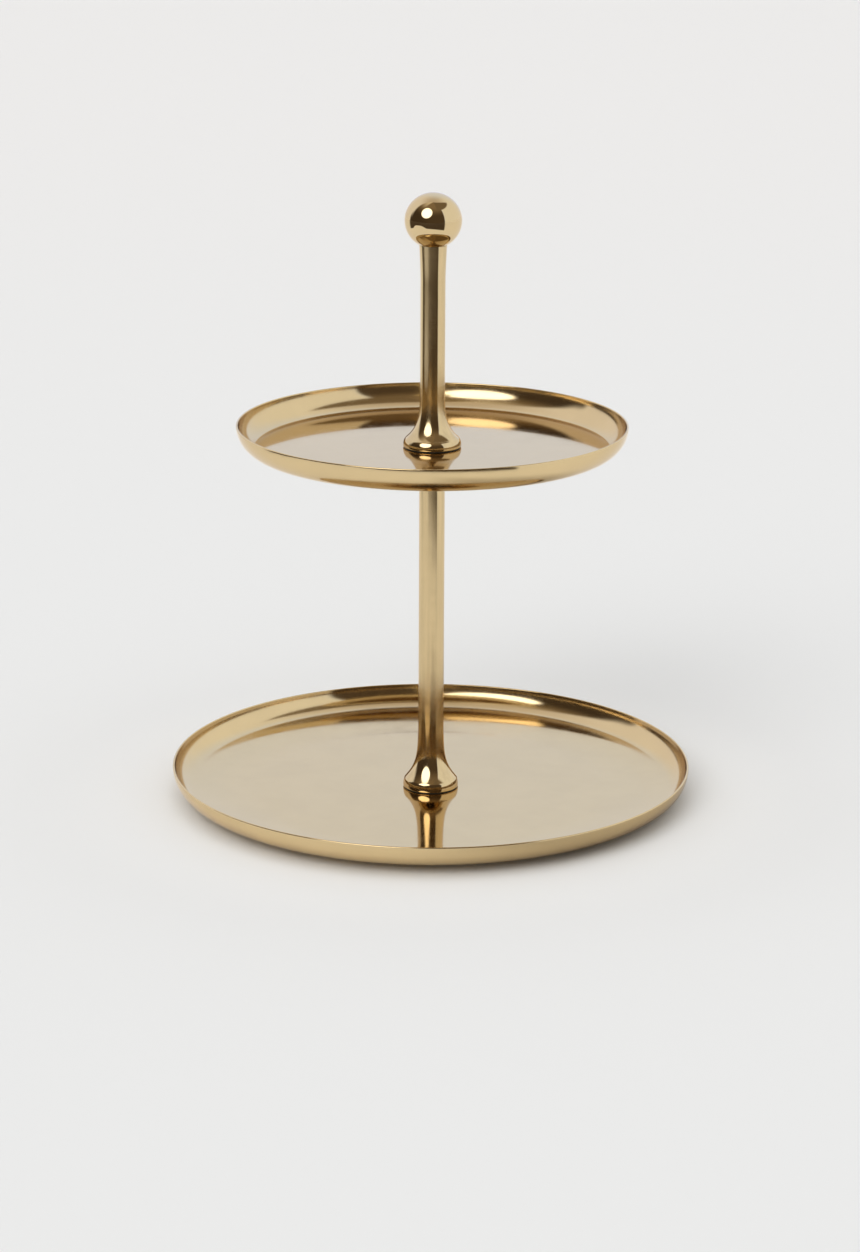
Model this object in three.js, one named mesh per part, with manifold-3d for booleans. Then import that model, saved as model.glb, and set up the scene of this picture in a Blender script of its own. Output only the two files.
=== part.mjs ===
// Two-tier cake stand: two spun metal dishes carried on a turned column, with a ball knob to lift it by.
// It comes apart for storage: the handle screws into the column through the upper dish,
// and the column screws onto a bolt that comes up through the lower dish.
// Millimetres, +Z up, origin on the table under the middle of the stand.

import * as THREE from 'three';
import { mergeVertices } from 'three/addons/utils/BufferGeometryUtils.js';
import Module from 'manifold-3d';

// ---------- Driving dimensions ----------

// Dishes, spun from sheet. Past the flat floor a rim is two arcs: a sweep that leaves the floor level,
// and a bend that carries on from it to the lip. The lower dish has a long shallow sweep.
const SHEET_THICKNESS = 1;
const LOWER_DISH_DIAMETER = 250;
const LOWER_DISH_HEIGHT = 14.1;
const LOWER_RIM_WIDTH = 41;
const LOWER_SWEEP_RADIUS = 200;
const LOWER_SWEEP_DEG = 9.05;
const UPPER_DISH_DIAMETER = 185.4;
const UPPER_DISH_HEIGHT = 12.2;
const UPPER_RIM_WIDTH = 9.6;
const UPPER_SWEEP_RADIUS = 4;
const UPPER_SWEEP_DEG = 22;

// Raised seat in the middle of the lower dish, which makes room for the bolt head under it.
const SEAT_RISE = 4;
const SEAT_STEP_WIDTH = 2.2;

// Column and handle, turned from bar with a flared foot.
const LOWER_COLUMN_LENGTH = 167.4;
const HANDLE_LENGTH = 95.8;
const COLUMN_STEM_DIAMETER = 12.3;
const HANDLE_STEM_DIAMETER = 11.8;
const STEM_END_CHAMFER = 0.4;
const NECK_DIAMETER = 13.1;
const NECK_LENGTH = 17;
const NECK_BEND_HEIGHT = 5;
const COLUMN_FOOT_DIAMETER = 26.7;
const COLUMN_FOOT_INSET = 0.6;
const COLUMN_FOOT_SLOPE_DEG = 50;
const COLUMN_FLARE_HEIGHT = 38;
const COLUMN_FLARE_TIGHTNESS = 0.9;
const HANDLE_FOOT_DIAMETER = 27.6;
const HANDLE_FOOT_INSET = 1.1;
const HANDLE_FOOT_SLOPE_DEG = 38;
const HANDLE_FLARE_HEIGHT = 24;
const HANDLE_FLARE_TIGHTNESS = 0.7;
const FOOT_SHOULDER_HEIGHT = 4;
const FOOT_EDGE_HEIGHT = 0.95;
const FOOT_UNDERCUT = 0.5;
const FOOT_WALL = 3;

// Knob, slightly flatter than a true ball.
const KNOB_DIAMETER = 27;
const KNOB_FULL_HEIGHT = 26.2;

// Screws. Threads are plain cylinders at the thread's outer size.
const SCREW_DIAMETER = 6;
const SCREW_REACH = 8;
const SCREW_HEAD_HEIGHT = 2.4;
const SCREW_HEAD_EDGE = 0.6;
const SCREW_SLOT_WIDTH = 1.4;
const SCREW_SLOT_DEPTH = 1.1;
const STUD_HOLD = 11;
const KNOB_STUD_DIAMETER = 5;
const KNOB_STUD_HOLD = 8;
const THREAD_LEAD_IN = 0.6;
const BORE_SPARE_DEPTH = 2;

// Washers and pads.
const SCREW_WASHER_THICKNESS = 0.8;
const SCREW_WASHER_MARGIN = 0.8;
const SOFT_WASHER_THICKNESS = 0.3;
const SOFT_WASHER_INSET = 0.4;
const PAD_DIAMETER = 12;
const PAD_THICKNESS = 1;
const PAD_EDGE_ROUNDING = 0.3;
const PAD_INSET_FROM_SWEEP = 8;

// Clearances.
const SEAT_GAP = 0.05;
const THREAD_GAP = 0.1;
const HOLE_GAP = 0.3;
const RECESS_GAP = 0.5;
const SEAT_SIDE_GAP = 0.3;
const WASHER_SIDE_GAP = 0.9;

// Smoothness: sides round a revolved piece, and steps along its curves.
const DISH_SIDES = 72;
const COLUMN_SIDES = 36;
const FASTENER_SIDES = 24;
const SWEEP_STEPS = 3;
const BEND_STEPS = 6;
const LIP_STEPS = 4;
const FLARE_STEPS = 8;
const KNOB_STEPS = 12;

// ---------- Worked-out sizes ----------

const columnStemRadius = COLUMN_STEM_DIAMETER / 2;
const handleStemRadius = HANDLE_STEM_DIAMETER / 2;
const columnFootRadius = COLUMN_FOOT_DIAMETER / 2;
const handleFootRadius = HANDLE_FOOT_DIAMETER / 2;
const neckRadius = NECK_DIAMETER / 2;
const screwRadius = SCREW_DIAMETER / 2;
const boreRadius = screwRadius + THREAD_GAP;
const knobStudRadius = KNOB_STUD_DIAMETER / 2;
const knobBoreRadius = knobStudRadius + THREAD_GAP;
const holeRadius = screwRadius + HOLE_GAP;

// The seat fills the recess under the foot, and the bolt's washer and head fit inside the seat.
// The sheet keeps its thickness over the step, so its upper corners lie further out than its lower ones.
const footRecessRadius = columnFootRadius - FOOT_UNDERCUT - FOOT_WALL;
const seatStepAngle = Math.atan(SEAT_RISE / SEAT_STEP_WIDTH);
const seatCornerShift = SHEET_THICKNESS * Math.tan(seatStepAngle / 2);
const seatRadius = footRecessRadius - SEAT_SIDE_GAP - SEAT_STEP_WIDTH - seatCornerShift;
const screwWasherRadius = seatRadius - WASHER_SIDE_GAP;
const screwHeadRadius = screwWasherRadius - SCREW_WASHER_MARGIN;

// Heights of the stack, from the table up.
const lowerDishZ = PAD_THICKNESS + SEAT_GAP;
const lowerFloorZ = lowerDishZ + SHEET_THICKNESS;
const footWasherZ = lowerFloorZ + SEAT_GAP;
const lowerColumnZ = footWasherZ + SOFT_WASHER_THICKNESS + SEAT_GAP;
const tierWasherZ = lowerColumnZ + LOWER_COLUMN_LENGTH + SEAT_GAP;
const upperDishZ = tierWasherZ + SOFT_WASHER_THICKNESS + SEAT_GAP;
const upperFloorZ = upperDishZ + SHEET_THICKNESS;
const handleWasherZ = upperFloorZ + SEAT_GAP;
const handleZ = handleWasherZ + SOFT_WASHER_THICKNESS + SEAT_GAP;
const knobZ = handleZ + HANDLE_LENGTH + SEAT_GAP;

// The recess under the lower foot clears the raised seat.
const seatTopZ = lowerFloorZ + SEAT_RISE;
const footRecessDepth = seatTopZ + RECESS_GAP - lowerColumnZ;

// The bolt hangs under the seat: washer, then head.
const screwWasherZ = lowerDishZ + SEAT_RISE - SEAT_GAP - SCREW_WASHER_THICKNESS;
const screwHeadZ = screwWasherZ - SEAT_GAP - SCREW_HEAD_HEIGHT;
const screwTipZ = lowerColumnZ + footRecessDepth + SCREW_REACH;

// ---------- Materials ----------

function brass(roughness) {
  return new THREE.MeshStandardMaterial({ color: 0xd8b67a, metalness: 1, roughness });
}

function steel() {
  return new THREE.MeshStandardMaterial({ color: 0xb4b3ae, metalness: 1, roughness: 0.35 });
}

function softPlastic() {
  return new THREE.MeshStandardMaterial({ color: 0x2c2a27, metalness: 0, roughness: 0.5 });
}

function padRubber() {
  return new THREE.MeshStandardMaterial({ color: 0x3a3936, metalness: 0, roughness: 0.8 });
}

// ---------- Shaping tools ----------

// Turns a profile of (radius, height) points round the Z axis.
// The profile runs up the outside, and closes on itself or on the axis.
function revolve(profile, sides) {
  const geometry = new THREE.LatheGeometry(profile, sides);
  geometry.rotateX(Math.PI / 2);
  return geometry;
}

function point(radius, height) {
  return new THREE.Vector2(radius, height);
}

// The point at a distance from a centre, its angle measured from straight down towards outwards.
function pointAround(centre, distance, angle) {
  return point(centre.x + distance * Math.sin(angle), centre.y - distance * Math.cos(angle));
}

function arcPoints(centre, arcRadius, fromAngle, toAngle, steps) {
  const points = [];
  for (let step = 0; step <= steps; step += 1) {
    points.push(pointAround(centre, arcRadius, fromAngle + (toAngle - fromAngle) * (step / steps)));
  }
  return points;
}

function flatRing(innerRadius, outerRadius, thickness, sides) {
  const profile = [
    point(innerRadius, 0),
    point(outerRadius, 0),
    point(outerRadius, thickness),
    point(innerRadius, thickness),
    point(innerRadius, 0),
  ];
  return revolve(profile, sides);
}

// A threaded rod without its thread, with a lead-in chamfer at both ends.
function plainRod(radius, length) {
  const profile = [
    point(0, 0),
    point(radius - THREAD_LEAD_IN, 0),
    point(radius, THREAD_LEAD_IN),
    point(radius, length - THREAD_LEAD_IN),
    point(radius - THREAD_LEAD_IN, length),
    point(0, length),
  ];
  return revolve(profile, FASTENER_SIDES);
}

const wasm = await Module();
wasm.setup();

function toSolid(geometry) {
  const bare = geometry.clone();
  bare.deleteAttribute('normal');
  bare.deleteAttribute('uv');
  const merged = mergeVertices(bare, 1e-4);
  const vertProperties = new Float32Array(merged.attributes.position.array);
  const triVerts = new Uint32Array(merged.index.array);
  return new wasm.Manifold(new wasm.Mesh({ numProp: 3, vertProperties, triVerts }));
}

function toGeometry(solid) {
  const mesh = solid.getMesh();
  const geometry = new THREE.BufferGeometry();
  geometry.setAttribute('position', new THREE.BufferAttribute(mesh.vertProperties, 3));
  geometry.setIndex(new THREE.BufferAttribute(mesh.triVerts, 1));
  geometry.computeVertexNormals();
  return geometry;
}

// ---------- Dishes ----------

// Both faces of a rim and the rounded lip between them, from the underside over to the floor.
// The sweep and the bend are taken along the middle of the sheet, and meet without a corner.
function rimPoints(diameter, height, rimWidth, sweepRadius, sweepDeg) {
  const halfSheet = SHEET_THICKNESS / 2;
  const sweepEnd = THREE.MathUtils.degToRad(sweepDeg);
  const run = rimWidth - halfSheet - sweepRadius * Math.sin(sweepEnd);
  const rise = height - SHEET_THICKNESS - sweepRadius * (1 - Math.cos(sweepEnd));
  const bendEnd = 2 * Math.atan2(rise, run) - sweepEnd;
  const bendRadius = Math.hypot(run, rise) / (2 * Math.sin((bendEnd - sweepEnd) / 2));
  const sweepCentre = point(diameter / 2 - rimWidth, halfSheet + sweepRadius);
  const bendCentre = pointAround(sweepCentre, sweepRadius - bendRadius, sweepEnd);
  const lipCentre = pointAround(bendCentre, bendRadius, bendEnd);
  const face = (offset) => [
    ...arcPoints(sweepCentre, sweepRadius + offset, 0, sweepEnd, SWEEP_STEPS),
    ...arcPoints(bendCentre, bendRadius + offset, sweepEnd, bendEnd, BEND_STEPS).slice(1),
  ];
  const lip = arcPoints(lipCentre, halfSheet, bendEnd, bendEnd + Math.PI, LIP_STEPS);
  return [...face(halfSheet), ...lip.slice(1, -1), ...face(-halfSheet).reverse()];
}

function upperDish() {
  const rim = rimPoints(
    UPPER_DISH_DIAMETER, UPPER_DISH_HEIGHT, UPPER_RIM_WIDTH, UPPER_SWEEP_RADIUS, UPPER_SWEEP_DEG,
  );
  const profile = [
    point(holeRadius, 0),
    ...rim,
    point(holeRadius, SHEET_THICKNESS),
    point(holeRadius, 0),
  ];
  return revolve(profile, DISH_SIDES);
}

function lowerDish() {
  const rim = rimPoints(
    LOWER_DISH_DIAMETER, LOWER_DISH_HEIGHT, LOWER_RIM_WIDTH, LOWER_SWEEP_RADIUS, LOWER_SWEEP_DEG,
  );
  const profile = [
    point(holeRadius, SEAT_RISE),
    point(seatRadius, SEAT_RISE),
    point(seatRadius + SEAT_STEP_WIDTH, 0),
    ...rim,
    point(seatRadius + SEAT_STEP_WIDTH + seatCornerShift, SHEET_THICKNESS),
    point(seatRadius + seatCornerShift, SEAT_RISE + SHEET_THICKNESS),
    point(holeRadius, SEAT_RISE + SHEET_THICKNESS),
    point(holeRadius, SEAT_RISE),
  ];
  return revolve(profile, DISH_SIDES);
}

// ---------- Column and handle ----------

// Outside of a foot, from its undercut edge over the shoulder and up the flare to the plain stem.
// The flare leaves the shoulder at the given slope; the tighter it is, the closer it stays to the stem.
function footPoints(footRadius, stemRadius, shoulderInset, slopeDeg, flareHeight, tightness) {
  const shoulder = point(footRadius - shoulderInset, FOOT_SHOULDER_HEIGHT);
  const coneRise = (shoulder.x - stemRadius) * Math.tan(THREE.MathUtils.degToRad(slopeDeg));
  const corner = point(stemRadius, FOOT_SHOULDER_HEIGHT + coneRise);
  const stem = point(stemRadius, flareHeight);
  const edge = point(footRadius, FOOT_EDGE_HEIGHT);
  const edgeCorner = point(footRadius, (FOOT_EDGE_HEIGHT + FOOT_SHOULDER_HEIGHT) / 2);
  const rounding = new THREE.QuadraticBezierCurve(edge, edgeCorner, shoulder);
  const flare = new THREE.CubicBezierCurve(
    shoulder,
    shoulder.clone().lerp(corner, tightness),
    stem.clone().lerp(corner, tightness),
    stem,
  );
  return [
    point(footRadius - FOOT_UNDERCUT, 0),
    point(footRadius, FOOT_UNDERCUT),
    ...rounding.getPoints(LIP_STEPS),
    ...flare.getPoints(FLARE_STEPS).slice(1),
  ];
}

function lowerColumn() {
  const foot = footPoints(
    columnFootRadius, columnStemRadius, COLUMN_FOOT_INSET, COLUMN_FOOT_SLOPE_DEG,
    COLUMN_FLARE_HEIGHT, COLUMN_FLARE_TIGHTNESS,
  );
  const topBore = SCREW_REACH + BORE_SPARE_DEPTH;
  const footBoreTop = footRecessDepth + SCREW_REACH + BORE_SPARE_DEPTH;
  const profile = [
    point(0, footBoreTop),
    point(boreRadius, footBoreTop),
    point(boreRadius, footRecessDepth),
    point(footRecessRadius, footRecessDepth),
    point(footRecessRadius, 0),
    ...foot,
    point(columnStemRadius, LOWER_COLUMN_LENGTH - STEM_END_CHAMFER),
    point(columnStemRadius - STEM_END_CHAMFER, LOWER_COLUMN_LENGTH),
    point(boreRadius, LOWER_COLUMN_LENGTH),
    point(boreRadius, LOWER_COLUMN_LENGTH - topBore),
    point(0, LOWER_COLUMN_LENGTH - topBore),
  ];
  return revolve(profile, COLUMN_SIDES);
}

// The stem widens a little in its last stretch, where it meets the knob.
function handleColumn() {
  const foot = footPoints(
    handleFootRadius, handleStemRadius, HANDLE_FOOT_INSET, HANDLE_FOOT_SLOPE_DEG,
    HANDLE_FLARE_HEIGHT, HANDLE_FLARE_TIGHTNESS,
  );
  const neck = new THREE.QuadraticBezierCurve(
    point(handleStemRadius, HANDLE_LENGTH - NECK_LENGTH),
    point(handleStemRadius, HANDLE_LENGTH - NECK_LENGTH + NECK_BEND_HEIGHT),
    point(neckRadius, HANDLE_LENGTH),
  );
  const knobBore = KNOB_STUD_HOLD + BORE_SPARE_DEPTH;
  const profile = [
    point(0, STUD_HOLD),
    point(boreRadius, STUD_HOLD),
    point(boreRadius, 0),
    ...foot,
    ...neck.getPoints(LIP_STEPS),
    point(knobBoreRadius, HANDLE_LENGTH),
    point(knobBoreRadius, HANDLE_LENGTH - knobBore),
    point(0, HANDLE_LENGTH - knobBore),
  ];
  return revolve(profile, COLUMN_SIDES);
}

// A flattened ball cut off level where it is as wide as the neck, and drilled from below.
function knob() {
  const radius = KNOB_DIAMETER / 2;
  const halfHeight = KNOB_FULL_HEIGHT / 2;
  const seatAngle = Math.asin(neckRadius / radius);
  const centre = halfHeight * Math.cos(seatAngle);
  const boreDepth = KNOB_STUD_HOLD + BORE_SPARE_DEPTH;
  const outside = [];
  for (let step = 0; step < KNOB_STEPS; step += 1) {
    const angle = seatAngle + (Math.PI - seatAngle) * (step / KNOB_STEPS);
    outside.push(point(radius * Math.sin(angle), centre - halfHeight * Math.cos(angle)));
  }
  const profile = [
    point(0, boreDepth),
    point(knobBoreRadius, boreDepth),
    point(knobBoreRadius, 0),
    ...outside,
    point(0, centre + halfHeight),
  ];
  return revolve(profile, COLUMN_SIDES);
}

// ---------- Fasteners, washers and pads ----------

// Low round head with a coin slot, and a plain shank up through the seat.
function baseScrew() {
  const length = screwTipZ - screwHeadZ;
  const profile = [
    point(0, 0),
    point(screwHeadRadius - SCREW_HEAD_EDGE, 0),
    point(screwHeadRadius, SCREW_HEAD_EDGE),
    point(screwHeadRadius, SCREW_HEAD_HEIGHT),
    point(screwRadius, SCREW_HEAD_HEIGHT),
    point(screwRadius, length - THREAD_LEAD_IN),
    point(screwRadius - THREAD_LEAD_IN, length),
    point(0, length),
  ];
  const slot = new THREE.BoxGeometry(screwHeadRadius * 4, SCREW_SLOT_WIDTH, SCREW_SLOT_DEPTH * 2);
  return toGeometry(toSolid(revolve(profile, FASTENER_SIDES)).subtract(toSolid(slot)));
}

function footPad() {
  const radius = PAD_DIAMETER / 2;
  const profile = [
    point(0, 0),
    point(radius - PAD_EDGE_ROUNDING, 0),
    point(radius, PAD_EDGE_ROUNDING),
    point(radius, PAD_THICKNESS),
    point(0, PAD_THICKNESS),
  ];
  return revolve(profile, FASTENER_SIDES);
}

// ---------- The stand ----------

const stand = new THREE.Group();

function place(name, geometry, material, z, x = 0, y = 0) {
  const mesh = new THREE.Mesh(geometry, material);
  mesh.name = name;
  mesh.position.set(x, y, z);
  stand.add(mesh);
}

place('lower_dish', lowerDish(), brass(0.18), lowerDishZ);
place('upper_dish', upperDish(), brass(0.18), upperDishZ);
place('lower_column', lowerColumn(), brass(0.22), lowerColumnZ);
place('handle_column', handleColumn(), brass(0.12), handleZ);
place('ball_knob', knob(), brass(0.08), knobZ);

place('base_screw', baseScrew(), steel(), screwHeadZ);
place(
  'base_screw_washer',
  flatRing(holeRadius, screwWasherRadius, SCREW_WASHER_THICKNESS, FASTENER_SIDES),
  steel(),
  screwWasherZ,
);

// The tier stud is held in the handle and reaches down through the upper dish into the column.
const tierStudTip = lowerColumnZ + LOWER_COLUMN_LENGTH - SCREW_REACH;
const tierStudLength = handleZ + STUD_HOLD - SEAT_GAP - tierStudTip;
place('tier_stud', plainRod(screwRadius, tierStudLength), steel(), tierStudTip);
place('knob_stud', plainRod(knobStudRadius, KNOB_STUD_HOLD * 2), steel(), knobZ - KNOB_STUD_HOLD);

place(
  'column_foot_washer',
  flatRing(footRecessRadius, columnFootRadius - SOFT_WASHER_INSET, SOFT_WASHER_THICKNESS, COLUMN_SIDES),
  softPlastic(),
  footWasherZ,
);
place(
  'tier_washer',
  flatRing(holeRadius, columnStemRadius - SOFT_WASHER_INSET, SOFT_WASHER_THICKNESS, FASTENER_SIDES),
  softPlastic(),
  tierWasherZ,
);
place(
  'handle_foot_washer',
  flatRing(holeRadius, handleFootRadius - SOFT_WASHER_INSET, SOFT_WASHER_THICKNESS, COLUMN_SIDES),
  softPlastic(),
  handleWasherZ,
);

// The pads sit under the flat floor, a little inside the sweep.
const padRing = LOWER_DISH_DIAMETER / 2 - LOWER_RIM_WIDTH - PAD_INSET_FROM_SWEEP;
const padNames = ['right_back', 'left_back', 'left_front', 'right_front'];
padNames.forEach((side, index) => {
  const angle = Math.PI / 4 + (index * 2 * Math.PI) / padNames.length;
  const name = `foot_pad_${side}`;
  place(name, footPad(), padRubber(), 0, padRing * Math.cos(angle), padRing * Math.sin(angle));
});

export default stand;
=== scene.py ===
import math

import bpy
from mathutils import Matrix, Vector


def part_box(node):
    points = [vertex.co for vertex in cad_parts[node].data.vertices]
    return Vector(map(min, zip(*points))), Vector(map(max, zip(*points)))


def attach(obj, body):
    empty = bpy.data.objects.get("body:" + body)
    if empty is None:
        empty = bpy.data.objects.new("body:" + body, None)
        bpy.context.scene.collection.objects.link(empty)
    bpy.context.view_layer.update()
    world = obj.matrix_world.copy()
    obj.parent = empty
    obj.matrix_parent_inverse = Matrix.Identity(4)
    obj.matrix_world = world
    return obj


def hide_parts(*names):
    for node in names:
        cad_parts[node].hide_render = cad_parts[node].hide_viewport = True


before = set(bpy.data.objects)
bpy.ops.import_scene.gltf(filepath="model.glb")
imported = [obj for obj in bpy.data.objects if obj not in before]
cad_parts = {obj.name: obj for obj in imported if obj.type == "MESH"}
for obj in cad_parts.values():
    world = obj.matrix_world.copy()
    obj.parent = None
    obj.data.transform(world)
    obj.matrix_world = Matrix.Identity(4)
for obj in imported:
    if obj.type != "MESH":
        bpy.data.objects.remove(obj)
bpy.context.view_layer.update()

MM = 0.001

# ---------- Shapes: the same curves as the CAD part, in millimetres, with finer steps ----------

SHEET = 1.0
LOWER_RIM_WIDTH = 41.0
LOWER_SWEEP = 200.0
LOWER_SWEEP_ANGLE = math.radians(9.05)
UPPER_RIM_WIDTH = 9.6
UPPER_SWEEP = 4.0
UPPER_SWEEP_ANGLE = math.radians(22)
SEAT_RISE = 4.0
SEAT_STEP = 2.2
HOLE_RADIUS = 3.3
COLUMN_STEM_RADIUS = 6.15
HANDLE_STEM_RADIUS = 5.9
STEM_CHAMFER = 0.4
NECK_RADIUS = 6.55
NECK_LENGTH = 17.0
NECK_BEND_HEIGHT = 5.0
COLUMN_FOOT_INSET = 0.6
COLUMN_FOOT_SLOPE = math.radians(50)
COLUMN_FLARE_HEIGHT = 38.0
COLUMN_FLARE_TIGHTNESS = 0.9
HANDLE_FOOT_INSET = 1.1
HANDLE_FOOT_SLOPE = math.radians(38)
HANDLE_FLARE_HEIGHT = 24.0
HANDLE_FLARE_TIGHTNESS = 0.7
FOOT_SHOULDER_HEIGHT = 4.0
FOOT_EDGE_HEIGHT = 0.95
FOOT_UNDERCUT = 0.5
FOOT_WALL = 3.0
BORE_RADIUS = 3.1
BORE_DEPTH = 10.0
HANDLE_BORE_DEPTH = 11.0
KNOB_BORE_RADIUS = 2.6
KNOB_BORE_DEPTH = 10.0
SEAT_SIDE_GAP = 0.3
RECESS_GAP = 0.5
EDGE_SUPPORT = 0.4

DISH_SIDES = 288
COLUMN_SIDES = 128
RIM_STEPS = 40
LIP_STEPS = 12
FLARE_STEPS = 48
KNOB_STEPS = 72
UNDERCUT_STEPS = 6
ON_AXIS = 1e-6


def size_of(node):
    """Radius, base height and height of a CAD node, in millimetres."""
    low, high = (Vector(corner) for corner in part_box(node))
    return (high.x - low.x) / 2 / MM, low.z / MM, (high.z - low.z) / MM


def revolve(name, profile, base, sides, crease=30, closed=True):
    """Turns a profile of (radius, height) points round the Z axis. Points on the axis become poles."""
    verts, rings = [], []
    for radius, height in profile:
        start = len(verts)
        count = 1 if radius < ON_AXIS else sides
        for k in range(count):
            a = 2 * math.pi * k / sides
            verts.append((radius * math.cos(a) * MM, radius * math.sin(a) * MM, (base + height) * MM))
        rings.append((start, count))
    faces = []
    pairs = list(zip(rings, rings[1:]))
    if closed:
        pairs.append((rings[-1], rings[0]))
    for (a, na), (b, nb) in pairs:
        if na == 1 and nb == 1:
            continue
        for k in range(sides):
            n = (k + 1) % sides
            if na == 1:
                faces.append((a, b + n, b + k))
            elif nb == 1:
                faces.append((a + k, a + n, b))
            else:
                faces.append((a + k, a + n, b + n, b + k))
    mesh = bpy.data.meshes.new(name)
    mesh.from_pydata(verts, [], faces)
    mesh.validate()
    mesh.polygons.foreach_set("use_smooth", [True] * len(mesh.polygons))
    mesh.set_sharp_from_angle(angle=math.radians(crease))
    obj = bpy.data.objects.new(name, mesh)
    bpy.context.collection.objects.link(obj)
    return obj


def arc(radius, height, arc_radius, start, end, steps):
    """Points on an arc, with angles measured from straight down towards outwards."""
    out = []
    for k in range(steps + 1):
        a = start + (end - start) * k / steps
        out.append((radius + arc_radius * math.sin(a), height - arc_radius * math.cos(a)))
    return out


def between(a, b, share):
    """The point that is a share of the way from a to b."""
    return tuple(p + (q - p) * share for p, q in zip(a, b))


def bezier(points, steps):
    """Points on a Bezier curve of any degree."""
    out = []
    for k in range(steps + 1):
        level = list(points)
        t = k / steps
        while len(level) > 1:
            level = [between(a, b, t) for a, b in zip(level, level[1:])]
        out.append(level[0])
    return out


def rim(box_radius, height, width, sweep, sweep_angle):
    """Both faces of a rim and the half-round lip, from the underside over to the floor.

    Along the middle of the sheet a sweep leaves the floor, and a second arc turns up from it to the lip.
    """
    run, rise = width - SHEET / 2, height - SHEET
    left, up = run - sweep * math.sin(sweep_angle), rise - sweep * (1 - math.cos(sweep_angle))
    end = 2 * math.atan2(up, left) - sweep_angle
    tight = math.hypot(left, up) / (2 * math.sin((end - sweep_angle) / 2))
    start_radius = box_radius - width
    sweep_centre = (start_radius, SHEET / 2 + sweep)
    tight_centre = (
        start_radius + (sweep - tight) * math.sin(sweep_angle),
        SHEET / 2 + sweep - (sweep - tight) * math.cos(sweep_angle),
    )
    lip = (tight_centre[0] + tight * math.sin(end), tight_centre[1] - tight * math.cos(end))
    half = SHEET / 2
    return [
        (start_radius - EDGE_SUPPORT, 0),
        *arc(*sweep_centre, sweep + half, 0, sweep_angle, RIM_STEPS),
        *arc(*tight_centre, tight + half, sweep_angle, end, RIM_STEPS)[1:],
        *arc(*lip, half, end, end + math.pi, LIP_STEPS)[1:-1],
        *arc(*tight_centre, tight - half, end, sweep_angle, RIM_STEPS),
        *arc(*sweep_centre, sweep - half, sweep_angle, 0, RIM_STEPS)[1:],
        (start_radius - EDGE_SUPPORT, SHEET),
    ]


def foot(radius, stem_radius, inset, slope, flare_height, tightness):
    """Outside of a foot, from its undercut edge over the shoulder and up the flare to the plain stem."""
    shoulder = (radius - inset, FOOT_SHOULDER_HEIGHT)
    rise = (shoulder[0] - stem_radius) * math.tan(slope)
    corner = (stem_radius, FOOT_SHOULDER_HEIGHT + rise)
    stem = (stem_radius, flare_height)
    edge = (radius, FOOT_EDGE_HEIGHT)
    edge_corner = (radius, (FOOT_EDGE_HEIGHT + FOOT_SHOULDER_HEIGHT) / 2)
    flare = [shoulder, between(shoulder, corner, tightness), between(stem, corner, tightness), stem]
    return [
        (radius - FOOT_UNDERCUT, 0),
        *arc(radius - FOOT_UNDERCUT, FOOT_UNDERCUT, FOOT_UNDERCUT, 0, math.pi / 2, UNDERCUT_STEPS)[1:],
        *bezier([edge, edge_corner, shoulder], LIP_STEPS),
        *bezier(flare, FLARE_STEPS)[1:],
    ]


foot_radius, column_base, column_length = size_of("lower_column")
handle_radius, handle_base, handle_length = size_of("handle_column")
recess = foot_radius - FOOT_UNDERCUT - FOOT_WALL
seat_shift = SHEET * math.tan(math.atan(SEAT_RISE / SEAT_STEP) / 2)
seat = recess - SEAT_SIDE_GAP - SEAT_STEP - seat_shift

radius, base, height = size_of("lower_dish")
lower_dish = revolve("dish_lower", [
    (HOLE_RADIUS, SEAT_RISE), (seat, SEAT_RISE), (seat + SEAT_STEP, 0),
    *rim(radius, height, LOWER_RIM_WIDTH, LOWER_SWEEP, LOWER_SWEEP_ANGLE),
    (seat + SEAT_STEP + seat_shift + EDGE_SUPPORT, SHEET), (seat + SEAT_STEP + seat_shift, SHEET),
    (seat + seat_shift, SEAT_RISE + SHEET), (HOLE_RADIUS, SEAT_RISE + SHEET),
], base, DISH_SIDES)

radius, base, height = size_of("upper_dish")
upper_dish = revolve("dish_upper", [
    (HOLE_RADIUS, 0),
    *rim(radius, height, UPPER_RIM_WIDTH, UPPER_SWEEP, UPPER_SWEEP_ANGLE),
    (HOLE_RADIUS, SHEET),
], base, DISH_SIDES)

recess_depth = (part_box("lower_dish")[0][2] / MM + SEAT_RISE + SHEET + RECESS_GAP) - column_base
foot_bore_top = recess_depth + BORE_DEPTH
lower_column = revolve("column_lower", [
    (0, foot_bore_top), (BORE_RADIUS, foot_bore_top), (BORE_RADIUS, recess_depth),
    (recess, recess_depth), (recess, 0),
    *foot(
        foot_radius, COLUMN_STEM_RADIUS, COLUMN_FOOT_INSET, COLUMN_FOOT_SLOPE,
        COLUMN_FLARE_HEIGHT, COLUMN_FLARE_TIGHTNESS,
    ),
    (COLUMN_STEM_RADIUS, column_length - STEM_CHAMFER),
    (COLUMN_STEM_RADIUS - STEM_CHAMFER, column_length),
    (BORE_RADIUS, column_length), (BORE_RADIUS, column_length - BORE_DEPTH),
    (0, column_length - BORE_DEPTH),
], column_base, COLUMN_SIDES, closed=False)

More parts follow.
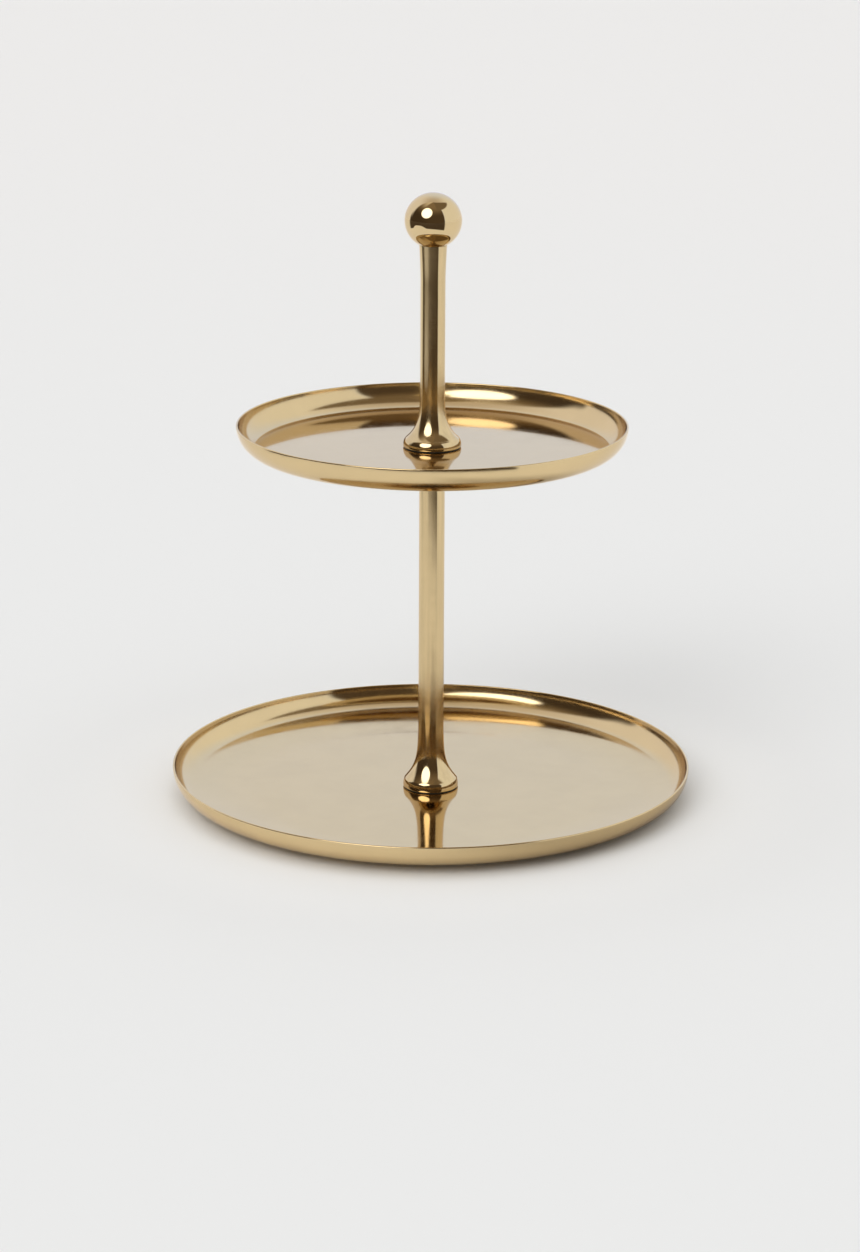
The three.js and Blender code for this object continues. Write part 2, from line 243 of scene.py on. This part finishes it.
handle_column = revolve("column_handle", [
    (0, HANDLE_BORE_DEPTH), (BORE_RADIUS, HANDLE_BORE_DEPTH), (BORE_RADIUS, 0),
    *foot(
        handle_radius, HANDLE_STEM_RADIUS, HANDLE_FOOT_INSET, HANDLE_FOOT_SLOPE,
        HANDLE_FLARE_HEIGHT, HANDLE_FLARE_TIGHTNESS,
    ),
    *bezier([
        (HANDLE_STEM_RADIUS, handle_length - NECK_LENGTH),
        (HANDLE_STEM_RADIUS, handle_length - NECK_LENGTH + NECK_BEND_HEIGHT),
        (NECK_RADIUS, handle_length),
    ], LIP_STEPS),
    (KNOB_BORE_RADIUS, handle_length), (KNOB_BORE_RADIUS, handle_length - KNOB_BORE_DEPTH),
    (0, handle_length - KNOB_BORE_DEPTH),
], handle_base, COLUMN_SIDES, closed=False)

knob_radius, knob_base, knob_height = size_of("ball_knob")
seat_angle = math.asin(NECK_RADIUS / knob_radius)
half_height = knob_height / (1 + math.cos(seat_angle))
knob_centre = knob_height - half_height
knob_angles = [seat_angle + (math.pi - seat_angle) * k / KNOB_STEPS for k in range(KNOB_STEPS)]
knob = revolve("knob_ball", [
    (0, KNOB_BORE_DEPTH), (KNOB_BORE_RADIUS, KNOB_BORE_DEPTH), (KNOB_BORE_RADIUS, 0),
    *[(knob_radius * math.sin(a), knob_centre - half_height * math.cos(a)) for a in knob_angles],
    (0, knob_height),
], knob_base, COLUMN_SIDES, closed=False)

for piece, node, body, slot in (
    (lower_dish, "lower_dish", "base", "dish_brass"),
    (upper_dish, "upper_dish", "upper_dish", "dish_brass"),
    (lower_column, "lower_column", "column", "stem_brass"),
    (handle_column, "handle_column", "handle", "stem_brass"),
    (knob, "ball_knob", "handle", "knob_brass"),
):
    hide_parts(node)
    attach(piece, body)

# ---------- Materials ----------


class Nodes:
    """Small helper for building node trees."""

    def __init__(self, tree):
        self.tree = tree
        tree.nodes.clear()

    def add(self, kind, **settings):
        node = self.tree.nodes.new(kind)
        for key, value in settings.items():
            setattr(node, key, value)
        return node

    def wire(self, a, b):
        self.tree.links.new(a, b)

    def math(self, operation, a, b=None):
        node = self.add("ShaderNodeMath", operation=operation)
        for socket, value in zip(node.inputs, (a, b)):
            if value is None:
                continue
            if isinstance(value, (int, float)):
                socket.default_value = value
            else:
                self.wire(value, socket)
        return node.outputs[0]

    def both(self, a, b):
        """The product, which for two masks is where both hold."""
        return self.math("MULTIPLY", a, b)

    def distance(self, x, y):
        """How long the level arrow (x, y) is."""
        return self.math("SQRT", self.math("ADD", self.both(x, x), self.both(y, y)))

    def ramp(self, value, low, high, out_low=0.0, out_high=1.0):
        """A smooth change from out_low at low to out_high at high."""
        node = self.add("ShaderNodeMapRange", interpolation_type="SMOOTHSTEP")
        self.wire(value, node.inputs["Value"])
        limits = (("From Min", low), ("From Max", high), ("To Min", out_low), ("To Max", out_high))
        for key, number in limits:
            node.inputs[key].default_value = number
        return node.outputs["Result"]

    def turn(self, value, low, high, out_low=0.0, out_high=1.0):
        """A ramp between two angles in degrees."""
        return self.ramp(value, math.radians(low), math.radians(high), out_low, out_high)

    def mix(self, factor, a, b):
        node = self.add("ShaderNodeMix", data_type="RGBA")
        self.wire(factor, node.inputs["Factor"])
        for key, value in (("A", a), ("B", b)):
            socket = [s for s in node.inputs if s.name == key and s.type == "RGBA"][0]
            if isinstance(value, tuple):
                socket.default_value = (*value, 1)
            else:
                self.wire(value, socket)
        return [s for s in node.outputs if s.type == "RGBA"][0]

    def noise(self, vector, scale, detail=3.0, roughness=0.6):
        node = self.add("ShaderNodeTexNoise")
        self.wire(vector, node.inputs["Vector"])
        node.inputs["Scale"].default_value = scale
        node.inputs["Detail"].default_value = detail
        node.inputs["Roughness"].default_value = roughness
        return node.outputs["Fac"]


NOISE_RANGE = (0.3, 0.7)
SMALLEST_RADIUS = 1e-5


def round_coordinates(nodes, around, along):
    """Coordinates for a pattern that runs round the Z axis.

    The first two are the cosine and sine of the angle, which leave no seam, times around.
    The third is radius plus height, times along.
    """
    coord = nodes.add("ShaderNodeTexCoord").outputs["Object"]
    split = nodes.add("ShaderNodeSeparateXYZ")
    nodes.wire(coord, split.inputs[0])
    x, y, z = split.outputs
    length = nodes.distance(x, y)
    safe = nodes.math("MAXIMUM", length, SMALLEST_RADIUS)
    join = nodes.add("ShaderNodeCombineXYZ")
    nodes.wire(nodes.math("MULTIPLY", nodes.math("DIVIDE", x, safe), around), join.inputs[0])
    nodes.wire(nodes.math("MULTIPLY", nodes.math("DIVIDE", y, safe), around), join.inputs[1])
    outward = nodes.math("MULTIPLY", length, along)
    upward = nodes.math("MULTIPLY", z, along)
    nodes.wire(nodes.math("ADD", outward, upward), join.inputs[2])
    return join.outputs[0]


EDGE_TINT = (0.85, 0.8, 0.75, 1.0)
COAT_ROUGHNESS = 0.03
COAT_IOR = 1.5
ALONG_THE_PROFILE = 0.25
PATCHES = {"scale": 38.0, "stretch": 1.0, "darkest": 0.96}
TURNED_PATCHES = {"scale": 260.0, "stretch": 0.06, "darkest": 0.86}
WEAR_SCALE = 90.0
GRAIN_AROUND = 1.3
GRAIN_DEPTH = 0.00002


def brass(name, colour, rough, rough_spread, grain, grain_strength, coat, turned=0.0, beyond=None):
    """Polished brass-coloured metal under lacquer, with turning grain round the axis.

    turned is how much the lathe's grooves smear the reflections along the profile.
    beyond is for a piece with a second finish. It gives the measure that tells the two apart ("radius"
    or "height"), the middle of the change and half its width in millimetres, and the second roughness
    and grooving.
    """
    material = bpy.data.materials.new(name)
    material.use_nodes = True
    nodes = Nodes(material.node_tree)
    out = nodes.add("ShaderNodeOutputMaterial")
    shader = nodes.add("ShaderNodeBsdfPrincipled")
    nodes.wire(shader.outputs[0], out.inputs["Surface"])
    shader.inputs["Metallic"].default_value = 1.0
    shader.inputs["Specular Tint"].default_value = EDGE_TINT
    shader.inputs["Coat Weight"].default_value = coat
    shader.inputs["Coat Roughness"].default_value = COAT_ROUGHNESS
    shader.inputs["Coat IOR"].default_value = COAT_IOR
    shader.inputs["Anisotropic"].default_value = turned
    shader.inputs["Anisotropic Rotation"].default_value = ALONG_THE_PROFILE
    around = nodes.add("ShaderNodeTangent", direction_type="RADIAL", axis="Z")
    nodes.wire(around.outputs[0], shader.inputs["Tangent"])
    coord = nodes.add("ShaderNodeTexCoord").outputs["Object"]
    kind = TURNED_PATCHES if turned else PATCHES
    drawn = nodes.add("ShaderNodeMapping")
    drawn.inputs["Scale"].default_value = (1.0, 1.0, kind["stretch"])
    nodes.wire(coord, drawn.inputs["Vector"])
    patches = nodes.ramp(nodes.noise(drawn.outputs[0], kind["scale"]), *NOISE_RANGE)
    darker = tuple(c * kind["darkest"] for c in colour)
    nodes.wire(nodes.mix(patches, darker, colour), shader.inputs["Base Color"])
    lines = nodes.noise(round_coordinates(nodes, GRAIN_AROUND, grain), 1.0)
    wear = nodes.noise(coord, WEAR_SCALE, detail=4.0, roughness=0.65)
    roughness = nodes.ramp(wear, *NOISE_RANGE, rough - rough_spread, rough + rough_spread)
    if beyond:
        measure, edge, ease, second_rough, second_turned = beyond
        split = nodes.add("ShaderNodeSeparateXYZ")
        nodes.wire(coord, split.inputs[0])
        x, y, height = split.outputs
        along = height if measure == "height" else nodes.distance(x, y)
        start = (edge - ease) * MM
        full = (edge + ease) * MM
        rougher = nodes.ramp(along, start, full, 0.0, second_rough - rough)
        roughness = nodes.math("ADD", roughness, rougher)
        nodes.wire(nodes.ramp(along, start, full, turned, second_turned), shader.inputs["Anisotropic"])
    nodes.wire(roughness, shader.inputs["Roughness"])
    bump = nodes.add("ShaderNodeBump")
    bump.inputs["Strength"].default_value = grain_strength
    bump.inputs["Distance"].default_value = GRAIN_DEPTH
    nodes.wire(lines, bump.inputs["Height"])
    nodes.wire(bump.outputs[0], shader.inputs["Normal"])
    return material


PLAIN_DARKEST = 0.85
PLAIN_BUMP = 0.4
PLAIN_TEXTURE = 6


def plain(name, colour, metallic, rough, spread, scale, bump_distance):
    """Zinc-plated steel, plastic or rubber, with mottling and fine texture."""
    material = bpy.data.materials.new(name)
    material.use_nodes = True
    nodes = Nodes(material.node_tree)
    out = nodes.add("ShaderNodeOutputMaterial")
    shader = nodes.add("ShaderNodeBsdfPrincipled")
    nodes.wire(shader.outputs[0], out.inputs["Surface"])
    shader.inputs["Metallic"].default_value = metallic
    coord = nodes.add("ShaderNodeTexCoord").outputs["Object"]
    mottle = nodes.noise(coord, scale, detail=4.0)
    darker = tuple(c * PLAIN_DARKEST for c in colour)
    nodes.wire(nodes.mix(mottle, darker, colour), shader.inputs["Base Color"])
    roughness = nodes.ramp(mottle, *NOISE_RANGE, rough - spread, rough + spread)
    nodes.wire(roughness, shader.inputs["Roughness"])
    bump = nodes.add("ShaderNodeBump")
    bump.inputs["Strength"].default_value = PLAIN_BUMP
    bump.inputs["Distance"].default_value = bump_distance
    nodes.wire(nodes.noise(coord, scale * PLAIN_TEXTURE), bump.inputs["Height"])
    nodes.wire(bump.outputs[0], shader.inputs["Normal"])
    return material


GOLD = (0.645, 0.498, 0.278)
SHEET_FINISH = {
    "rough": 0.08, "rough_spread": 0.02, "grain": 900.0, "grain_strength": 0.12, "coat": 0.25,
}
STEM_FINISH = {
    "rough": 0.09, "rough_spread": 0.02, "grain": 1400.0, "grain_strength": 0.03, "coat": 0.4,
    "turned": 0.7,
}
KNOB_FINISH = {
    "rough": 0.04, "rough_spread": 0.01, "grain": 1400.0, "grain_strength": 0.08, "coat": 0.5,
}
# The walls of the dishes are satin, and so are the stems above their polished feet.
LOWER_SATIN = ("radius", 112.0, 2.0, 0.13, 0.9)
UPPER_SATIN = ("radius", 84.0, 2.0, 0.13, 0.9)
COLUMN_SATIN = ("height", 20.0, 10.0, 0.13, 0.9)
HANDLE_SATIN = ("height", 183.0, 8.0, 0.14, 1.0)

lower_dish_brass = brass("lower dish brass", GOLD, **SHEET_FINISH, beyond=LOWER_SATIN)
upper_dish_brass = brass("upper dish brass", GOLD, **SHEET_FINISH, beyond=UPPER_SATIN)
stem_brass = brass("stem brass", GOLD, **STEM_FINISH, beyond=COLUMN_SATIN)
handle_brass = brass("handle brass", GOLD, **STEM_FINISH, beyond=HANDLE_SATIN)
knob_brass = brass("knob brass", GOLD, **KNOB_FINISH)
zinc = plain(
    "zinc-plated steel", (0.62, 0.61, 0.58),
    metallic=1.0, rough=0.32, spread=0.07, scale=700.0, bump_distance=0.00002,
)
washer_plastic = plain(
    "soft plastic", (0.020, 0.018, 0.016),
    metallic=0.0, rough=0.45, spread=0.06, scale=600.0, bump_distance=0.00002,
)
pad_rubber = plain(
    "pad rubber", (0.035, 0.033, 0.030),
    metallic=0.0, rough=0.8, spread=0.08, scale=800.0, bump_distance=0.00005,
)

for piece, material in (
    (lower_dish, lower_dish_brass), (upper_dish, upper_dish_brass), (lower_column, stem_brass),
    (handle_column, handle_brass), (knob, knob_brass),
):
    piece.data.materials.append(material)

for name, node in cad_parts.items():
    if name in ("base_screw", "base_screw_washer", "tier_stud", "knob_stud"):
        material = zinc
    elif name.endswith("washer"):
        material = washer_plastic
    elif name.startswith("foot_pad"):
        material = pad_rubber
    else:
        continue
    for slot in node.material_slots:
        slot.material = material

# ---------- Floor, light and camera ----------

FLOOR_SIZE = 8.0
FLOOR_CORNERS = ((-1, -1), (1, -1), (1, 1), (-1, 1))
floor_mesh = bpy.data.meshes.new("floor")
floor_points = [(x * FLOOR_SIZE, y * FLOOR_SIZE, 0) for x, y in FLOOR_CORNERS]
floor_mesh.from_pydata(floor_points, [], [(0, 1, 2, 3)])
floor = bpy.data.objects.new("floor", floor_mesh)
bpy.context.collection.objects.link(floor)

# The paper as the eye and the light see it: painted light makes it palest round the stand, and painted
# shading changes it with distance.
PAPER_CLOSE_PAINTED_LIGHT = (0.85, 0.85, 0.843)
PAPER_NEAR = (0.80, 0.80, 0.795)
PAPER_FAR_PAINTED_SHADING = (0.812, 0.801, 0.791)
PAINTED_LIGHT_RANGE = (0.125, 0.20)
PAINTED_SHADING_RANGE = (0.0, 2.5)

# The paper as the metal mirrors it: a painted reflection that is paler than the paper the eye sees, with
# a painted shadow near the front right and dark past its edge. Bearings are in degrees: 0 is towards the
# camera, and positive to the right. Lengths are in metres.
PAPER_MIRRORED = (0.99, 0.975, 0.945)
PAPER_NEAR_RIGHT_PAINTED_SHADOW = (0.64, 0.61, 0.57)
PAINTED_SHADOW_ACROSS = (-0.03, 0.08)
PAINTED_SHADOW_REACH = (0.24, 0.34)
PAST_PAPER = (0.075, 0.055, 0.038)
PAPER_CENTRE = -0.12
PAPER_REACH = 0.56
PAPER_EDGE = 0.03
PAST_PAPER_LEFT = (-112, -102)
PAST_PAPER_RIGHT = (45, 49)
# To the left the paper runs further out, in a tongue.
TONGUE_LENGTH = 0.5
TONGUE_LEFT = (-92, -70)
TONGUE_RIGHT = (-56, -26)

FLOOR_ROUGHNESS = 0.9
FLOOR_SPECULAR = 0.1

material = bpy.data.materials.new("paper")
material.use_nodes = True
nodes = Nodes(material.node_tree)
out = nodes.add("ShaderNodeOutputMaterial")
shader = nodes.add("ShaderNodeBsdfPrincipled")
nodes.wire(shader.outputs[0], out.inputs["Surface"])
shader.inputs["Roughness"].default_value = FLOOR_ROUGHNESS
shader.inputs["Specular IOR Level"].default_value = FLOOR_SPECULAR
split = nodes.add("ShaderNodeSeparateXYZ")
nodes.wire(nodes.add("ShaderNodeTexCoord").outputs["Object"], split.inputs[0])
across, away, _ = split.outputs
path = nodes.add("ShaderNodeLightPath")

reach = nodes.distance(nodes.math("SUBTRACT", across, PAPER_CENTRE), away)
bearing = nodes.math("ARCTAN2", across, nodes.math("MULTIPLY", away, -1.0))
# Painted shadow in the mirrored paper, near the front right of the lower dish.
near_right_painted_shadow = nodes.both(
    nodes.ramp(across, *PAINTED_SHADOW_ACROSS),
    nodes.ramp(reach, *PAINTED_SHADOW_REACH, 1.0, 0.0),
)
mirrored = nodes.mix(near_right_painted_shadow, PAPER_MIRRORED, PAPER_NEAR_RIGHT_PAINTED_SHADOW)
tongue = nodes.both(
    nodes.turn(bearing, *TONGUE_LEFT, 0.0, TONGUE_LENGTH),
    nodes.turn(bearing, *TONGUE_RIGHT, 1.0, 0.0),
)
past_edge = nodes.ramp(
    nodes.math("SUBTRACT", reach, tongue), PAPER_REACH - PAPER_EDGE, PAPER_REACH + PAPER_EDGE,
)
in_front = nodes.both(
    nodes.turn(bearing, *PAST_PAPER_LEFT),
    nodes.turn(bearing, *PAST_PAPER_RIGHT, 1.0, 0.0),
)
mirrored = nodes.mix(nodes.both(past_edge, in_front), mirrored, PAST_PAPER)

# Painted shading: the paper's tone changes with distance from the stand.
paper = nodes.mix(nodes.ramp(away, *PAINTED_SHADING_RANGE), PAPER_NEAR, PAPER_FAR_PAINTED_SHADING)
# Painted light lifts the shade on the paper close round the stand.
paper = nodes.mix(nodes.ramp(nodes.distance(across, away), *PAINTED_LIGHT_RANGE), PAPER_CLOSE_PAINTED_LIGHT, paper)
# Glossy rays see the painted reflection colour. Other rays see the paper colour above.
nodes.wire(nodes.mix(path.outputs["Is Glossy Ray"], paper, mirrored), shader.inputs["Base Color"])
floor_mesh.materials.append(material)


def towards(azimuth, elevation):
    """The direction to a point of the studio."""
    level = math.cos(elevation)
    return Vector((math.sin(azimuth) * level, -math.cos(azimuth) * level, math.sin(elevation)))


KEY_AZIMUTH = math.radians(-32)
KEY_ELEVATION = math.radians(38)
towards_key = towards(KEY_AZIMUTH, KEY_ELEVATION)

# The studio that the metal mirrors, by direction. Azimuth 0 is towards the camera, and positive to
# the right.
BACKDROP = (0.955, 1.055, 1.27)
LEFT_SIDE = (1.02, 1.01, 1.05)
RIGHT_SIDE = (1.05, 1.06, 1.06)
HIGH_SIDE = (0.70, 0.63, 0.57)
CEILING = (0.26, 0.21, 0.15)
FRONT_HIGH = (0.30, 0.225, 0.145)
LEFT_HAZE = (0.82, 0.74, 0.62)
RIGHT_BAND = (0.23, 0.175, 0.115)
DARK_LEFT = (0.07, 0.05, 0.033)
DARK_RIGHT = (0.095, 0.068, 0.043)

# Zones in degrees: the low and the high edge, and half the width over which each comes in.
LEFT_SIDE_AZIMUTH = (-165, 20, 20, 30)
RIGHT_SIDE_AZIMUTH = (47, 150, 6, 20)
CEILING_AZIMUTH = (-75, 75, 8, 8)
CEILING_ELEVATION = (76, 200, 5, 5)
HAZE_AZIMUTH = (-200, -58, 5, 10)
FRONT_AZIMUTH = (-98, 47, 6, 2)
LEFT_CORNER_AZIMUTH = (-106, -80, 3, 3)
LEFT_CORNER_ELEVATION = (-60, 17, 3, 14)
BAND_AZIMUTH = (20, 120, 6, 12)
BAND_ELEVATION = (49, 200, 2, 3)

# Slow changes in degrees: where each begins and where it is complete.
HIGH_SIDE_RISE = (42, 84)
DARK_TURN = (-60, 0)
FRONT_RISE = (25, 68)
HAZE_RISE = (48, 80)

# The band on the right ends along a slanting line.
BAND_LEAN = 0.63
BAND_TOP = 0.985
BAND_TOP_SOFT = 0.015

world = bpy.data.worlds.new("studio")
bpy.context.scene.world = world
world.use_nodes = True
nodes = Nodes(world.node_tree)
out = nodes.add("ShaderNodeOutputWorld")
way = nodes.add("ShaderNodeTexCoord").outputs["Generated"]
split = nodes.add("ShaderNodeSeparateXYZ")
nodes.wire(way, split.inputs[0])
azimuth = nodes.math("ARCTAN2", split.outputs[0], nodes.math("MULTIPLY", split.outputs[1], -1.0))
elevation = nodes.math("ARCSINE", split.outputs[2])


def window(value, low, high, soft_low, soft_high):
    """1 between two angles in degrees, 0 outside them, with soft edges."""
    up = nodes.turn(value, low - soft_low, low + soft_low)
    down = nodes.turn(value, high - soft_high, high + soft_high, 1.0, 0.0)
    return nodes.both(up, down)


room = nodes.mix(window(azimuth, *LEFT_SIDE_AZIMUTH), BACKDROP, LEFT_SIDE)
room = nodes.mix(window(azimuth, *RIGHT_SIDE_AZIMUTH), room, RIGHT_SIDE)
room = nodes.mix(nodes.turn(elevation, *HIGH_SIDE_RISE), room, HIGH_SIDE)
ceiling = nodes.both(window(azimuth, *CEILING_AZIMUTH), window(elevation, *CEILING_ELEVATION))
room = nodes.mix(ceiling, room, CEILING)
dark = nodes.mix(nodes.turn(azimuth, *DARK_TURN), DARK_LEFT, DARK_RIGHT)
front = nodes.mix(nodes.turn(elevation, *FRONT_RISE), dark, FRONT_HIGH)
haze = nodes.both(window(azimuth, *HAZE_AZIMUTH), nodes.turn(elevation, *HAZE_RISE))
front = nodes.mix(haze, front, LEFT_HAZE)
room = nodes.mix(window(azimuth, *FRONT_AZIMUTH), room, front)
corner = nodes.both(window(azimuth, *LEFT_CORNER_AZIMUTH), window(elevation, *LEFT_CORNER_ELEVATION))
room = nodes.mix(corner, room, dark)
leaning = nodes.math("ADD", split.outputs[2], nodes.math("MULTIPLY", split.outputs[1], BAND_LEAN))
band = nodes.both(window(azimuth, *BAND_AZIMUTH), window(elevation, *BAND_ELEVATION))
below_line = nodes.ramp(leaning, BAND_TOP - BAND_TOP_SOFT, BAND_TOP + BAND_TOP_SOFT, 1.0, 0.0)
band = nodes.both(band, below_line)
room = nodes.mix(band, room, RIGHT_BAND)

# The highlight is a bright disc that only the metal sees.
KEY_GLOW = (3.2, 3.2, 3.2)
KEY_WIDTH = math.radians(20.3)
KEY_SOFT = math.radians(2.5)
aim = nodes.add("ShaderNodeVectorMath", operation="DOT_PRODUCT")
nodes.wire(way, aim.inputs[0])
aim.inputs[1].default_value = towards_key
glow = nodes.ramp(aim.outputs["Value"], math.cos(KEY_WIDTH + KEY_SOFT), math.cos(KEY_WIDTH - KEY_SOFT))
room = nodes.mix(glow, room, KEY_GLOW)

# Rough surfaces take a smooth dome, brightest overhead, and the camera sees a plain backdrop.
FILL_LOW = (0.265, 0.265, 0.263)
FILL_HIGH = (0.83, 0.83, 0.824)
FILL_RISE = (5, 60)
SEEN_BACKDROP = (0.82, 0.82, 0.815, 1)
dome = nodes.mix(nodes.turn(elevation, *FILL_RISE), FILL_LOW, FILL_HIGH)
path = nodes.add("ShaderNodeLightPath")
seen = nodes.add("ShaderNodeBackground")
seen.inputs["Color"].default_value = SEEN_BACKDROP
light = nodes.add("ShaderNodeBackground")
nodes.wire(nodes.mix(path.outputs["Is Diffuse Ray"], room, dome), light.inputs["Color"])
pick = nodes.add("ShaderNodeMixShader")
nodes.wire(path.outputs["Is Camera Ray"], pick.inputs[0])
nodes.wire(light.outputs[0], pick.inputs[1])
nodes.wire(seen.outputs[0], pick.inputs[2])
nodes.wire(pick.outputs[0], out.inputs["Surface"])

# Two lamps light the floor and don't show in the metal. The small one casts the soft shadow of the
# upper dish, and the wide one stands above it.
SOFT_BOX_ELEVATION = math.radians(62)
SUNS = (
    # name, direction, width, strength
    ("key", towards_key, math.radians(30), 0.44),
    ("soft_box", towards(KEY_AZIMUTH, SOFT_BOX_ELEVATION), math.radians(100), 0.755),
)
for name, aim_at, width, strength in SUNS:
    sun_data = bpy.data.lights.new(name, "SUN")
    sun_data.angle = width
    sun_data.energy = strength
    sun = bpy.data.objects.new(name, sun_data)
    bpy.context.collection.objects.link(sun)
    sun.visible_glossy = False
    sun.rotation_mode = "QUATERNION"
    sun.rotation_quaternion = aim_at.to_track_quat("Z", "Y")

# The camera that was solved from the photo: lengths in millimetres for the lens and in metres for
# the place, angles in degrees.
CAMERA_LENS = 97.79
CAMERA_SENSOR = 36.0
CAMERA_PLACE = (-0.00065, -1.568, 0.54015)
CAMERA_DOWN = 16.26
CAMERA_ROLL = 0.27
CAMERA_CLIP = (0.05, 60.0)
camera_data = bpy.data.cameras.new("camera")
camera_data.lens = CAMERA_LENS
camera_data.sensor_width = CAMERA_SENSOR
camera_data.clip_start, camera_data.clip_end = CAMERA_CLIP
camera = bpy.data.objects.new("camera", camera_data)
bpy.context.collection.objects.link(camera)
camera.matrix_world = (
    Matrix.Translation(CAMERA_PLACE)
    @ Matrix.Rotation(math.radians(90 - CAMERA_DOWN), 4, "X")
    @ Matrix.Rotation(math.radians(CAMERA_ROLL), 4, "Z")
)
bpy.context.scene.camera = camera
bpy.context.scene.view_settings.view_transform = "Standard"
